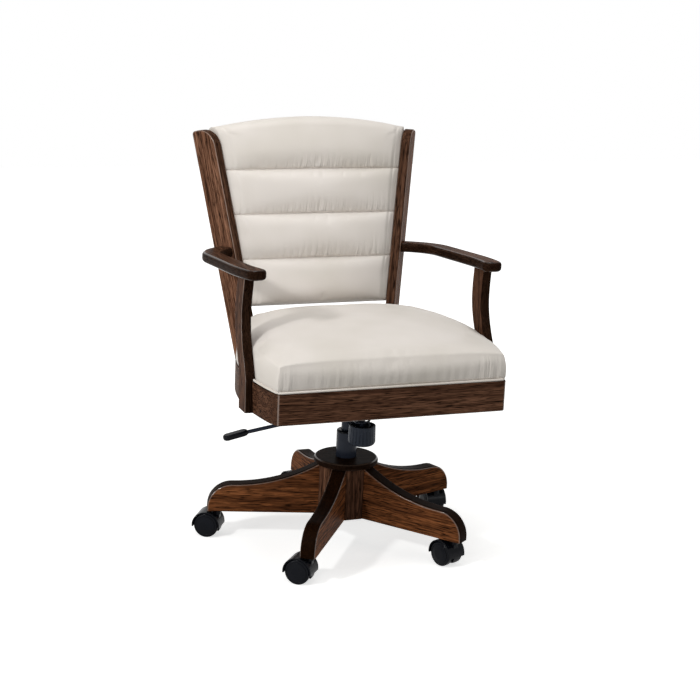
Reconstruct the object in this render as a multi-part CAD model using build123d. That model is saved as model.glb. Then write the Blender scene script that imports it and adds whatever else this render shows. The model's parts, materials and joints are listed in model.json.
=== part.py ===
from build123d import *
from math import asin, cos, pi, radians, sin, sqrt, tan
import os

# A wooden desk arm chair on a five-legged base with twin-wheel casters.
# Millimetres, +Z up, the sitter faces -Y. The origin is on the floor under the gas lift's axis.
# "Left" is the -X side, where the height lever is.

# Casters
wheel_diameter = 60.0
wheel_width = 18.0
wheel_gap = 16.0
wheel_edge_round = 4.0
wheel_cone = 2.0
tread_clearance = 1.5
hood_wall = 3.0
hood_skirt = 4.0
axle_diameter = 8.0
caster_trail = 22.0
stem_diameter = 11.0
stem_engagement = 30.0
stem_collar_diameter = 18.0
socket_wall = 1.5
socket_flange_diameter = 20.0
socket_flange = 1.5
caster_headings = (112.0, 92.0, 105.0, 148.0, 140.0)

# Base
leg_count = 5
first_leg_angle = -52.9
leg_tip_radius = 333.0
leg_thickness = 36.0
leg_bottom = 68.0
leg_root_height = 127.0
leg_waist_height = 69.0
leg_toe_radius = 60.0
leg_edge_round = 5.0
caster_setback = 25.0
hub_inner_radius = 64.0
hub_sleeve_wall = 4.0
cover_disc_diameter = 156.0
cover_disc_thickness = 16.0

# Gas lift
stand_tube_diameter = 50.0
stand_tube_wall = 1.5
stand_tube_top = 272.0
stand_tube_floor = 4.0
stand_tube_foot = 66.0
bush_lip = 6.0
bush_length = 60.0
pressure_tube_diameter = 28.0
pressure_tube_wall = 1.6
pressure_tube_bottom = 138.0
pressure_tube_top = 342.0
pressure_tube_end = 12.0
piston_rod_diameter = 10.0
piston_height = 212.0
piston_length = 12.0
bearing_height = 8.0
bearing_diameter = 34.0
valve_button_diameter = 8.0
valve_button_height = 8.0

# Tilt mechanism
tilt_plate_thickness = 4.0
tilt_plate_width = 190.0
tilt_plate_front = -140.0
tilt_plate_back = 95.0
tilt_axis_y = -52.0
tilt_axis_drop = 18.0
tilt_pin_diameter = 10.0
lug_thickness = 4.0
lug_radius = 13.0
housing_width = 92.0
housing_wall = 4.0
housing_drop = 60.0
housing_nose_drop = 20.0
housing_front = -136.0
housing_back = 42.0
housing_step_y = -76.0
housing_headroom = 4.0
column_boss_diameter = 46.0
tilt_limit = 12.0
tension_y = -97.0
tension_bolt_diameter = 12.0
bolt_head_height = 8.0
bolt_head_width = 18.0
knob_diameter = 63.0
knob_flare = 1.0
knob_bottom = 270.0
knob_height = 48.0
knob_wall = 4.0
knob_floor = 14.0
knob_cap = 3.0
knob_travel = 3.6
knob_rib_count = 24
knob_rib_radius = 1.8
washer_thickness = 3.0
washer_diameter = 42.0
spring_wire = 5.0
spring_diameter = 38.0
spring_turns = 6

# Height lever
lever_y = -60.0
lever_fulcrum_z = 344.0
lever_rod_diameter = 9.0
lever_droop = 9.0
lever_rod_reach = 248.0
paddle_length = 60.0
paddle_width = 24.0
paddle_thickness = 13.0
paddle_droop = 12.0
paddle_overlap = 22.0
lever_bend_radius = 7.0

# Seat frame
seat_front = -282.0
seat_back = 190.0
seat_front_half_width = 275.0
seat_back_half_width = 206.0
seat_side_bow = 51.0
rail_height = 71.0
rail_bottom = 388.0
rail_thickness = 24.0
rail_edge_round = 3.0
rail_corner_round = 7.0
cleat_width = 46.0
cleat_height = 24.0
cleat_spacing = 150.0
seat_board_thickness = 12.0

# Seat cushion
cushion_side_height = 64.0
cushion_edge_crown = 18.0
cushion_middle_crown = 26.0
cushion_base_inset = 9.0
cushion_side_draw = 9.0
cushion_brow = 95.0
cushion_brow_rise = 0.62
cushion_back_gap = 14.0
cushion_front_setback = 2.0
welt_diameter = 6.0
welt_inset = 4.0
welt_corner_radius = 8.0

# Back
back_rake = 13.66
post_splay = 8.5
post_toe = 33.0
post_thickness = 24.0
post_depth = 66.0
post_top_radius = 47.0
post_heel_radius = 8.0
post_edge_round = 3.0
post_top = 948.0
back_foot_y = 225.0
back_foot_z = 542.0
back_foot_half_width = 178.5
channel_count = 4
channel_height = 110.0
top_channel_height = 131.0
channel_bulge = 13.0
back_crown = 14.0
back_cushion_depth = 42.0
back_top_arch = 24.0
back_panel_thickness = 10.0
back_panel_inset = 12.0

# Arms
arm_width = 46.0
arm_thickness = 25.0
arm_reach_half_width = 297.0
arm_back_rise = 211.0
arm_front_lift = 30.0
arm_front_y = -160.0
arm_front_half_width = 285.0
arm_straight_front_y = -30.0
arm_end_round = 17.0
arm_edge_round = 9.0
arm_post_depth = 50.0
arm_post_thickness = 23.0
arm_post_outer_half_width = 314.0
arm_post_foot_y = -170.0
arm_post_rail_y = -161.0
arm_post_lean = 1.7
arm_post_knee_y = -140.0
arm_post_knee_rise = 42.0
arm_post_waist_y = -105.5
arm_post_waist_rise = 133.0
arm_post_head_y = -115.0
arm_post_edge_round = 3.0

# Clearances
running_clearance = 0.05
soft_clearance = 0.4
rod_clearance = 0.3

# Derived heights and places
wheel_radius = wheel_diameter / 2
hub_top = leg_bottom + leg_root_height
disc_top = hub_top + cover_disc_thickness
rail_top = rail_bottom + rail_height
arm_back_height = rail_top + arm_back_rise
arm_front_height = arm_back_height + arm_front_lift
arm_post_knee_height = rail_top + arm_post_knee_rise
arm_post_waist_height = rail_top + arm_post_waist_rise
caster_radius = leg_tip_radius - caster_setback
plate_bottom = rail_bottom - tilt_plate_thickness
tilt_axis_z = rail_bottom - tilt_axis_drop
housing_top = plate_bottom - housing_headroom
housing_bottom = rail_bottom - housing_drop
housing_side = housing_width / 2
knob_seat = knob_bottom + knob_floor

ground = (Align.CENTER, Align.CENTER, Align.MIN)


def rod_z(radius, low, high, x=0.0, y=0.0):
    """A round bar along Z from one height to another."""
    return Pos(x, y, low) * Cylinder(radius, high - low, align=ground)


def tube_z(outer, inner, low, high, x=0.0, y=0.0):
    return rod_z(outer, low, high, x, y) - rod_z(inner, low, high, x, y)


def rod_x(radius, low, high, y, z):
    """A round bar along X from one side to the other."""
    bar = Cylinder(radius, high - low, align=ground)
    return Pos(low, y, z) * Rot(0, 90, 0) * bar


def box_between(low, high):
    size = [h - l for l, h in zip(low, high)]
    return Pos(*low) * Box(*size, align=(Align.MIN, Align.MIN, Align.MIN))


def save(name, shape):
    export_step(shape, f"parts/{name}.step")
    print(name, f"{shape.volume:.0f} mm3")


# Casters. One is built at the origin with its stem on Z and its wheels trailing along +X.

axle_z = wheel_radius
hood_inner = wheel_radius + tread_clearance
hood_outer = hood_inner + hood_wall
web_half = wheel_gap / 2 - 0.5
hood_half_width = wheel_gap / 2 + wheel_width - 0.5
hood_neck_top = axle_z + hood_outer + 0.5
stem_foot = axle_z + axle_diameter
collar_top = leg_bottom - socket_flange - rod_clearance


def caster_wheel():
    """A turned wheel with a coned outer face and a blind bore, on its own axis along Z."""
    face = wheel_width - wheel_cone
    rim = wheel_radius - wheel_edge_round
    outline = [
        Line((0, 0), (rim, 0)),
        ThreePointArc(
            (rim, 0),
            (rim + wheel_edge_round * sin(pi / 4), wheel_edge_round * (1 - cos(pi / 4))),
            (wheel_radius, wheel_edge_round),
        ),
        Line((wheel_radius, wheel_edge_round), (wheel_radius, face - wheel_edge_round)),
        ThreePointArc(
            (wheel_radius, face - wheel_edge_round),
            (rim + wheel_edge_round * sin(pi / 4), face - wheel_edge_round * (1 - cos(pi / 4))),
            (rim, face),
        ),
        Line((rim, face), (rim / 2, wheel_width)),
        Line((rim / 2, wheel_width), (0, wheel_width)),
        Line((0, wheel_width), (0, 0)),
    ]
    wheel = revolve(Plane.XZ * make_face(outline), Axis.Z)
    groove = tube_z(rim - 1.5, rim - 3.0, face - 0.6, wheel_width)
    bore = rod_z(axle_diameter / 2 + running_clearance, 0, wheel_width - wheel_cone - 2)
    return wheel - groove - bore


def caster_hood():
    """A shell over both treads, with a web between the wheels and a neck for the stem."""
    ring = Circle(hood_outer) - Circle(hood_inner)
    below = Pos(0, -hood_outer - hood_skirt) * Rectangle(4 * hood_outer, 2 * hood_outer)
    shell = extrude(Plane.XZ * (ring - below), hood_half_width, both=True)
    web_disc = Circle(hood_inner + hood_wall / 2)
    web_cut = Pos(0, -hood_outer - 2 * axle_diameter) * Rectangle(4 * hood_outer, 2 * hood_outer)
    web = extrude(Plane.XZ * (web_disc - web_cut), web_half, both=True)
    hood = Pos(caster_trail, 0, axle_z) * (shell + web)
    neck_foot = axle_z + sqrt(hood_inner**2 - caster_trail**2) + hood_wall
    neck = rod_z(stem_collar_diameter / 2, neck_foot, hood_neck_top)
    inside = Pos(caster_trail, 0, axle_z) * Rot(90, 0, 0) * Cylinder(hood_inner, 4 * hood_half_width)
    heel = box_between((-web_half, -web_half, stem_foot), (0, web_half, neck_foot + 2))
    hood = hood + (neck - inside) + heel
    hood -= rod_z(stem_diameter / 2, stem_foot + 2, hood_neck_top + 1)
    axle_hole = Pos(caster_trail, 0, axle_z) * Rot(90, 0, 0) * Cylinder(axle_diameter / 2, 100)
    return hood - axle_hole


def caster_pins():
    """The stem with its collar, and the axle across the web."""
    stem = rod_z(stem_diameter / 2, stem_foot + 2, leg_bottom + stem_engagement)
    collar = rod_z(stem_collar_diameter / 2, hood_neck_top, collar_top)
    axle_half = wheel_gap / 2 + wheel_width - wheel_cone - 3
    axle = Pos(caster_trail, 0, axle_z) * Rot(90, 0, 0) * Cylinder(axle_diameter / 2, 2 * axle_half)
    return stem + collar, axle


def place_on_leg(index):
    """The place of a caster: on its leg's line, turned to its heading."""
    angle = radians(first_leg_angle + 360 / leg_count * index)
    x = caster_radius * cos(angle)
    y = caster_radius * sin(angle)
    return Pos(x, y, 0) * Rot(0, 0, caster_headings[index])


def make_casters():
    hood = caster_hood()
    stem, axle = caster_pins()
    wheel = caster_wheel()
    inner_face = wheel_gap / 2
    wheel_place = Pos(caster_trail, 0, axle_z)
    left = wheel_place * Pos(0, inner_face, 0) * Rot(-90, 0, 0) * wheel
    right = wheel_place * Pos(0, -inner_face, 0) * Rot(90, 0, 0) * wheel
    for index in range(leg_count):
        place = place_on_leg(index)
        name = f"caster_{index + 1}"
        save(f"{name}_hood", place * hood)
        save(f"{name}_pins", Compound([place * stem, place * axle]))
        save(f"{name}_wheel_left", place * left)
        save(f"{name}_wheel_right", place * right)


# Base

def leg_profile():
    """Side outline of a leg: a hollow top line that runs tangent into a rounded toe."""
    toe_x = leg_tip_radius - leg_toe_radius
    toe_z = leg_bottom + leg_waist_height - leg_toe_radius
    crest = (toe_x, toe_z + leg_toe_radius)
    tip = (leg_tip_radius, toe_z)
    middle = (toe_x + leg_toe_radius * cos(pi / 4), toe_z + leg_toe_radius * sin(pi / 4))
    root = (hub_inner_radius, hub_top)
    outline = [
        TangentArc(crest, root, tangent=(-1, 0)),
        ThreePointArc(crest, middle, tip),
        Line(tip, (leg_tip_radius, leg_bottom)),
        Line((leg_tip_radius, leg_bottom), (hub_inner_radius, leg_bottom)),
        Line((hub_inner_radius, leg_bottom), root),
    ]
    return make_face(outline)


def base_leg():
    board = extrude(Plane.XZ * leg_profile(), leg_thickness / 2, both=True)
    curved = board.edges().filter_by(GeomType.CIRCLE)
    board = fillet(curved, leg_edge_round)
    socket_radius = stem_diameter / 2 + running_clearance + socket_wall
    hole = rod_z(socket_radius, leg_bottom, leg_bottom + stem_engagement + 4, caster_radius)
    return board - hole


def caster_socket():
    bore = stem_diameter / 2 + running_clearance
    top = leg_bottom + stem_engagement + 4
    sleeve = tube_z(bore + socket_wall, bore, leg_bottom, top, caster_radius)
    flange = tube_z(socket_flange_diameter / 2, bore, leg_bottom - socket_flange, leg_bottom, caster_radius)
    return sleeve + flange


def make_base():
    leg = base_leg()
    socket = caster_socket()
    sockets = []
    for index in range(leg_count):
        turn = Rot(0, 0, first_leg_angle + 360 / leg_count * index)
        save(f"base_leg_{index + 1}", turn * leg)
        sockets.append(turn * socket)
    save("caster_sockets", Compound(sockets))

    sleeve_outer = stand_tube_diameter / 2 + hub_sleeve_wall
    hub_sides = 2 * leg_count
    outline = RegularPolygon(hub_inner_radius, hub_sides, major_radius=False, rotation=180 / hub_sides)
    hub = Pos(0, 0, leg_bottom) * extrude(outline, leg_root_height)
    hub = Rot(0, 0, first_leg_angle) * hub - rod_z(sleeve_outer, leg_bottom, hub_top)
    save("base_hub", hub)
    save("hub_sleeve", tube_z(sleeve_outer, stand_tube_diameter / 2, leg_bottom, hub_top))

    disc = rod_z(cover_disc_diameter / 2, hub_top, disc_top)
    rims = disc.edges().filter_by(GeomType.CIRCLE)
    disc = fillet(rims, cover_disc_thickness * 0.42)
    save("base_cover_disc", disc - rod_z(stand_tube_diameter / 2, hub_top, disc_top))


# Gas lift

def make_gas_lift():
    tube_outer = stand_tube_diameter / 2
    tube_inner = tube_outer - stand_tube_wall
    rod_radius = piston_rod_diameter / 2
    floor_top = stand_tube_foot + stand_tube_floor
    stand = rod_z(tube_outer, stand_tube_foot, stand_tube_top)
    stand -= rod_z(tube_inner, floor_top, stand_tube_top)
    stand -= rod_z(rod_radius + running_clearance, stand_tube_foot, floor_top)
    save("stand_tube", stand)

    column_radius = pressure_tube_diameter / 2
    slide_radius = column_radius + running_clearance
    lip = rod_z(tube_outer, stand_tube_top, stand_tube_top + bush_lip)
    lip = fillet(lip.edges().group_by(Axis.Z)[-1], bush_lip * 0.7)
    bush = lip + rod_z(tube_inner, stand_tube_top - bush_length, stand_tube_top)
    save("guide_bush", bush - rod_z(slide_radius, stand_tube_top - bush_length, stand_tube_top + bush_lip))

    bearing_top = floor_top + bearing_height
    save("thrust_bearing", tube_z(bearing_diameter / 2, rod_radius, floor_top, bearing_top))

    bore = column_radius - pressure_tube_wall
    shoulder = tube_z(bearing_diameter / 3, rod_radius, bearing_top, bearing_top + 4)
    rod = rod_z(rod_radius, stand_tube_foot, piston_height) + shoulder
    piston = rod_z(bore - running_clearance, piston_height, piston_height + piston_length)
    save("piston_rod", rod + piston)

    tube = rod_z(column_radius, pressure_tube_bottom, pressure_tube_top)
    cavity_top = pressure_tube_top - pressure_tube_end
    tube -= rod_z(bore, pressure_tube_bottom + pressure_tube_end, cavity_top)
    tube -= rod_z(rod_radius + running_clearance, pressure_tube_bottom, cavity_top)
    button_radius = valve_button_diameter / 2
    tube -= rod_z(button_radius + running_clearance, cavity_top, pressure_tube_top)
    save("pressure_tube", tube)

    button_top = pressure_tube_top + valve_button_height - rod_clearance
    button = rod_z(button_radius, cavity_top + valve_button_height / 2, button_top)
    save("valve_button", fillet(button.edges().group_by(Axis.Z)[-1], button_radius * 0.4))


# Tilt mechanism under the seat

def housing_profile(setback):
    """Side outline of the tilt housing, drawn in by a setback for its inner face."""
    slope = tan(radians(tilt_limit + 1))
    nose_bottom = rail_bottom - housing_nose_drop - housing_headroom
    back_top = housing_top - (housing_back - tilt_axis_y) * slope
    outline = Polyline(
        (housing_front + setback, nose_bottom),
        (housing_front + setback, housing_top - setback),
        (tilt_axis_y, housing_top - setback),
        (housing_back - setback, back_top - setback),
        (housing_back - setback, housing_bottom),
        (housing_step_y + setback, housing_bottom),
        (housing_step_y + setback, nose_bottom),
        close=True,
    )
    return make_face(outline)


def make_tilt_mechanism():
    column_radius = pressure_tube_diameter / 2
    shell = extrude(Plane.YZ * housing_profile(0), housing_side, both=True)
    inside = extrude(Plane.YZ * housing_profile(housing_wall), housing_side - housing_wall, both=True)
    boss_radius = column_boss_diameter / 2
    boss = rod_z(boss_radius, housing_bottom, pressure_tube_top)
    floor = box_between(
        (-housing_side, -boss_radius - housing_wall, housing_bottom),
        (housing_side, housing_back, housing_bottom + housing_wall),
    )
    housing = shell - inside + floor + boss
    housing -= rod_z(column_radius, housing_bottom - 1, pressure_tube_top + 1)
    housing -= rod_x(tilt_pin_diameter / 2, -housing_side, housing_side, tilt_axis_y, tilt_axis_z)
    bolt_slot = extrude(SlotOverall(tension_bolt_diameter + 12, tension_bolt_diameter + 5, 90), 40)
    housing -= Pos(0, tension_y, housing_top - 20) * bolt_slot
    droop = radians(lever_droop)
    fulcrum = (-housing_side + housing_wall / 2, lever_y, lever_fulcrum_z)
    along = Plane(origin=fulcrum, z_dir=(cos(droop), 0, sin(droop)))
    housing -= along * Cylinder(lever_rod_diameter / 2 + 2 * rod_clearance, 3 * housing_wall)
    pad = box_between((-30, housing_front, housing_top), (-14, housing_front + 16, plate_bottom - 0.2))
    housing = housing + pad + mirror(pad, about=Plane.YZ)
    save("tilt_housing", housing)

    lug_inner = housing_side + rod_clearance
    lug_outer = lug_inner + lug_thickness
    pin_end = lug_outer + 3
    pin = rod_x(tilt_pin_diameter / 2, -pin_end, pin_end, tilt_axis_y, tilt_axis_z)
    head = rod_x(tilt_pin_diameter / 2 + 3, lug_outer + rod_clearance, pin_end, tilt_axis_y, tilt_axis_z)
    save("tilt_pivot_pin", pin + head + mirror(head, about=Plane.YZ))

    half = tilt_plate_width / 2
    plate = box_between((-half, tilt_plate_front, plate_bottom), (half, tilt_plate_back, rail_bottom))
    plate = fillet(plate.edges().filter_by(Axis.Z), 12)
    lug_disc = rod_x(lug_radius, lug_inner, lug_outer, tilt_axis_y, tilt_axis_z)
    lug_neck = box_between(
        (lug_inner, tilt_axis_y - lug_radius, tilt_axis_z),
        (lug_outer, tilt_axis_y + lug_radius, plate_bottom),
    )
    lug = lug_disc + lug_neck
    plate = plate + lug + mirror(lug, about=Plane.YZ)
    lug_hole = tilt_pin_diameter / 2 + running_clearance
    plate -= rod_x(lug_hole, -lug_outer - 1, lug_outer + 1, tilt_axis_y, tilt_axis_z)
    plate -= rod_z(tension_bolt_diameter / 2, plate_bottom - 1, rail_bottom + 1, 0, tension_y)
    save("tilt_plate", plate)


def make_tension():
    bolt_radius = tension_bolt_diameter / 2
    head = extrude(RegularPolygon(bolt_head_width / 2, 6, major_radius=False), bolt_head_height)
    bore_end = knob_bottom + knob_cap
    shank_end = bore_end + knob_travel + rod_clearance
    shank = rod_z(bolt_radius, shank_end, rail_bottom, 0, tension_y)
    save("tension_bolt", shank + Pos(0, tension_y, rail_bottom) * head)

    radius = knob_diameter / 2
    rim = knob_bottom + knob_height
    section = [
        Line((0, knob_bottom), (radius - 8, knob_bottom)),
        RadiusArc((radius - 8, knob_bottom), (radius + knob_flare, knob_bottom + 10), -10.5),
        Line((radius + knob_flare, knob_bottom + 10), (radius, rim)),
        Line((radius, rim), (radius - knob_wall, rim)),
        Line((radius - knob_wall, rim), (radius - knob_wall, knob_seat)),
        Line((radius - knob_wall, knob_seat), (0, knob_seat)),
        Line((0, knob_seat), (0, knob_bottom)),
    ]
    knob = revolve(Plane.XZ * make_face(section), Axis.Z)
    for index in range(knob_rib_count):
        flute = Pos(radius + knob_flare, 0, knob_bottom) * Cylinder(knob_rib_radius, knob_height, align=ground)
        lean = Rot(0, 0, 360 / knob_rib_count * index)
        knob -= lean * flute
    knob -= rod_z(bolt_radius + running_clearance, bore_end, knob_seat)
    save("tension_knob", Pos(0, tension_y, 0) * knob)

    washer_top = knob_seat + washer_thickness
    bore = bolt_radius + rod_clearance
    save("tension_washer", tube_z(washer_diameter / 2, bore, knob_seat, washer_top, 0, tension_y))

    coil_radius = (spring_diameter - spring_wire) / 2
    low = washer_top + spring_wire / 2
    high = housing_top - housing_wall - spring_wire / 2
    pitch = (high - low) / spring_turns
    path = Helix(pitch, high - low, coil_radius)
    start = path.position_at(0)
    wire_section = Plane(origin=start, z_dir=path.tangent_at(0)) * Circle(spring_wire / 2)
    coil = sweep(wire_section, path=path, is_frenet=True)
    save("tension_spring", Pos(0, tension_y, low) * coil)
    print("spring: gap between turns", f"{pitch - spring_wire:.1f} mm")


# Height lever

def make_lever():
    rod_radius = lever_rod_diameter / 2
    wall_x = -housing_side + housing_wall / 2
    fall = tan(radians(lever_droop))
    elbow_x = wall_x - lever_rod_reach
    inner_x = -housing_side + housing_wall + 16
    trip_z = pressure_tube_top + valve_button_height + rod_radius
    points = [
        (elbow_x, lever_y, lever_fulcrum_z - fall * (wall_x - elbow_x)),
        (inner_x, lever_y, lever_fulcrum_z + fall * (inner_x - wall_x)),
        (inner_x, lever_y + 24, trip_z),
        (0, rod_radius, trip_z),
    ]
    path = FilletPolyline(*points, radius=lever_bend_radius)
    section = Plane(origin=path @ 0, z_dir=path % 0) * Circle(rod_radius)
    save("lift_lever_rod", sweep(section, path=path))

    # The paddle is a flat moulded grip with round ends, on the rod's outer end.
    length = paddle_length
    outline = SlotOverall(length, paddle_width)
    grip = extrude(outline, paddle_thickness / 2, both=True)
    grip = fillet(grip.edges(), paddle_thickness * 0.36)
    centre_x = elbow_x + paddle_overlap - length / 2
    centre_z = points[0][2] - sin(radians(paddle_droop)) * (elbow_x - centre_x)
    grip = Pos(centre_x, lever_y, centre_z) * Rot(0, -paddle_droop, 0) * grip
    seat = Plane(origin=points[0], z_dir=path % 0) * Cylinder(rod_radius, paddle_length, align=ground)
    save("lift_lever_paddle", grip - seat)


# Seat

def side_arc_radius():
    """Radius of the bowed seat side, from its chord and its bow."""
    chord = sqrt((seat_back - seat_front) ** 2 + (seat_front_half_width - seat_back_half_width) ** 2)
    return chord**2 / (8 * seat_side_bow) + seat_side_bow / 2


def side_arc_middle(inset=0.0):
    """Middle point of the bowed right side, moved in by an inset along the chord's normal."""
    run = seat_back - seat_front
    rise = seat_front_half_width - seat_back_half_width
    chord = sqrt(run**2 + rise**2)
    mid_x = (seat_front_half_width + seat_back_half_width) / 2
    mid_y = (seat_front + seat_back) / 2
    out = seat_side_bow - inset
    return mid_x + out * run / chord, mid_y + out * rise / chord


def side_half_width(y):
    """Half the seat's width at a distance along it, on the bowed side."""
    radius = side_arc_radius()
    middle_x, middle_y = side_arc_middle()
    run = seat_back - seat_front
    rise = seat_front_half_width - seat_back_half_width
    chord = sqrt(run**2 + rise**2)
    centre_x = middle_x - radius * run / chord
    centre_y = middle_y - radius * rise / chord
    return centre_x + sqrt(radius**2 - (y - centre_y) ** 2)


def seat_outline(inset=0.0):
    """Plan of the seat frame: straight front and back, bowed sides."""
    front = seat_front + inset
    back = seat_back - inset
    front_x = side_half_width(seat_front) - inset
    back_x = side_half_width(back) - inset
    middle_x, middle_y = side_arc_middle(inset)
    outline = [
        Line((-front_x, front), (front_x, front)),
        ThreePointArc((front_x, front), (middle_x, middle_y), (back_x, back)),
        Line((back_x, back), (-back_x, back)),
        ThreePointArc((-back_x, back), (-middle_x, middle_y), (-front_x, front)),
    ]
    return make_face(outline)


def seat_prism(inset, low, high):
    return Pos(0, 0, low) * extrude(seat_outline(inset), high - low)


def post_cut_plane(side):
    """The plane of a back post's outer face, with its normal away from the seat."""
    plane = post_plane(side)
    return Plane(origin=plane.origin + plane.z_dir * post_thickness, z_dir=plane.z_dir)


def make_seat_frame():
    ring = seat_prism(0, rail_bottom, rail_top) - seat_prism(rail_thickness, rail_bottom, rail_top)
    reach = 2 * seat_front_half_width
    front_end = seat_front + rail_thickness
    back_start = seat_back - rail_thickness
    front_box = box_between((-reach, seat_front, rail_bottom), (reach, front_end, rail_top))
    back_box = box_between((-reach, back_start, rail_bottom), (reach, seat_back, rail_top))
    side_box = box_between((0, front_end, rail_bottom), (reach, seat_back, rail_top))

    front = ring & front_box
    front = fillet(front.edges().filter_by(Axis.Z).group_by(Axis.Y)[0], rail_corner_round)
    front_face = front.faces().sort_by(Axis.Y)[0]
    front = fillet(front_face.edges().group_by(Axis.Z)[0], rail_edge_round)
    save("seat_rail_front", front)

    right = (ring & side_box) - back_box
    right = split(right, bisect_by=post_cut_plane(1), keep=Keep.TOP)
    right -= arm_post_blank()
    save("seat_rail_right", right)
    save("seat_rail_left", mirror(right, about=Plane.YZ))

    back_half = side_half_width(back_start) - 2 * rail_thickness
    back = box_between((-back_half, back_start, rail_bottom), (back_half, seat_back, rail_top))
    for side in (-1, 1):
        back -= back_post(side)
    save("seat_rail_back", back.solids().sort_by(SortBy.VOLUME)[-1])

    cleat = box_between(
        (cleat_spacing / 2 - cleat_width / 2, front_end, rail_bottom),
        (cleat_spacing / 2 + cleat_width / 2, back_start, rail_bottom + cleat_height),
    )
    save("seat_cleats", Compound([cleat, mirror(cleat, about=Plane.YZ)]))

    board = seat_prism(rail_thickness, rail_top - seat_board_thickness, rail_top)
    for side in (-1, 1):
        board -= back_post(side)
    save("seat_board", board.solids().sort_by(SortBy.VOLUME)[-1])


def cushion_section(y, side_top, crown):
    """Cross-section of the seat cushion: inset foot, drawn-in sides and a crowned top."""
    half = side_half_width(y)
    foot = half - cushion_base_inset
    low = rail_top + soft_clearance
    foot_top = low + welt_diameter + soft_clearance
    swell = half - soft_clearance
    edge = half - cushion_side_draw
    middle = (foot_top + side_top) / 2
    brow = half - cushion_brow
    brow_top = side_top + (crown - side_top) * cushion_brow_rise
    brow_mid = (half - cushion_side_draw - cushion_brow / 3, (side_top + 2 * brow_top) / 3)
    right = [
        Line((0, low), (foot, low)),
        Line((foot, low), (foot, foot_top)),
        ThreePointArc((foot, foot_top), (swell, middle), (edge, side_top)),
        ThreePointArc((edge, side_top), brow_mid, (brow, brow_top)),
    ]
    top = ThreePointArc((brow, brow_top), (0, crown), (-brow, brow_top))
    left = [mirror(line, about=Plane.YZ) for line in right]
    outline = right + [top] + left
    return Plane(origin=(0, y, 0), x_dir=(1, 0, 0), z_dir=(0, -1, 0)) * make_face(outline)


def make_seat_cushion():
    front = seat_front + cushion_front_setback
    back = seat_back - cushion_back_gap
    side_top = rail_top + cushion_side_height
    steps = 5
    sections = []
    for index in range(steps):
        share = index / (steps - 1)
        y = front + (back - front) * share
        swell = sin(pi * (0.12 + 0.8 * share))
        crown = side_top + cushion_edge_crown + cushion_middle_crown * swell
        sections.append(cushion_section(y, side_top, crown))
    foot_top = rail_top + welt_diameter + 2 * soft_clearance
    foot_depth = cushion_base_inset + cushion_front_setback
    rebate = box_between((-seat_front_half_width, seat_front, rail_top),
                         (seat_front_half_width, seat_front + foot_depth, foot_top))
    notch = arm_post_blank(soft_clearance)
    notches = notch + mirror(notch, about=Plane.YZ)
    save("seat_cushion", loft(sections) - rebate - notches)

    radius = welt_diameter / 2
    z = rail_top + radius + rod_clearance
    edge = seat_front + welt_inset
    front_x = side_half_width(seat_front) - welt_inset
    middle_x, middle_y = side_arc_middle(welt_inset)
    end_y = back - 20
    end_x = side_half_width(end_y) - welt_inset
    right = ThreePointArc((front_x, edge, z), (middle_x, middle_y, z), (end_x, end_y, z))
    left = ThreePointArc((-end_x, end_y, z), (-middle_x, middle_y, z), (-front_x, edge, z))
    run = Line((-front_x, edge, z), (front_x, edge, z))
    path = Wire([left, run, right])
    path = path.fillet_2d(welt_corner_radius, path.vertices().group_by(Axis.Y)[0])
    section = Plane(origin=path @ 0, z_dir=path % 0) * Circle(radius)
    cord_notch = arm_post_blank(soft_clearance + radius)
    cord_notches = cord_notch + mirror(cord_notch, about=Plane.YZ)
    save("seat_welt", sweep(section, path=path) - cord_notches)


# Back

def post_plane(side):
    """Plane of a back post's inner face: X runs back along the board's depth, Z points outwards."""
    splay = side * tan(radians(post_splay)) / cos(radians(back_rake))
    rake = tan(radians(back_rake))
    length = Vector(splay, rake, 1).normalized()
    toe = radians(post_toe)
    forward = Vector(-side * sin(toe), -cos(toe), 0)
    depth = (forward - length * forward.dot(length)).normalized()
    origin = Vector(side * back_foot_half_width, back_foot_y, back_foot_z)
    outward = depth.cross(length) * -side
    return Plane(origin=origin, x_dir=depth * -1, z_dir=outward)


def post_length_to(plane, z):
    """Distance along a post, from its plane's origin, to a height on its front inner edge."""
    return (z - plane.origin.Z) / abs(plane.y_dir.Z)


def back_post(side, edge_round=0.0):
    """A board post with a large round at the front of its top, cut level at the foot."""
    plane = post_plane(side)
    up = 1 if plane.y_dir.Z > 0 else -1
    rear_drop = post_depth * abs(plane.x_dir.Z) / abs(plane.y_dir.Z)
    top = post_length_to(plane, post_top) + rear_drop
    foot = post_length_to(plane, rail_bottom) - rear_drop
    radius = post_top_radius
    heel = post_heel_radius
    bend = sin(pi / 4)
    outline = [
        Line((0, up * foot), (0, up * (top - radius))),
        ThreePointArc(
            (0, up * (top - radius)),
            (radius * (1 - bend), up * (top - radius * (1 - bend))),
            (radius, up * top),
        ),
        Line((radius, up * top), (post_depth - heel, up * top)),
        ThreePointArc(
            (post_depth - heel, up * top),
            (post_depth - heel * (1 - bend), up * (top - heel * (1 - bend))),
            (post_depth, up * (top - heel)),
        ),
        Line((post_depth, up * (top - heel)), (post_depth, up * foot)),
        Line((post_depth, up * foot), (0, up * foot)),
    ]
    board = extrude(plane * make_face(outline), post_thickness, dir=plane.z_dir)
    if edge_round:
        broad = board.faces().sort_by(SortBy.AREA)[-2:]
        board = fillet(broad[0].edges() + broad[1].edges(), edge_round)
    return split(board, bisect_by=Plane.XY.offset(rail_bottom), keep=Keep.TOP)


def back_plane():
    """The raked plane through the posts' front inner edges: X across, Y up the back, Z forwards."""
    rake = radians(back_rake)
    return Plane(
        origin=(0, back_foot_y, back_foot_z),
        x_dir=(1, 0, 0),
        z_dir=(0, -cos(rake), sin(rake)),
    )


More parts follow.
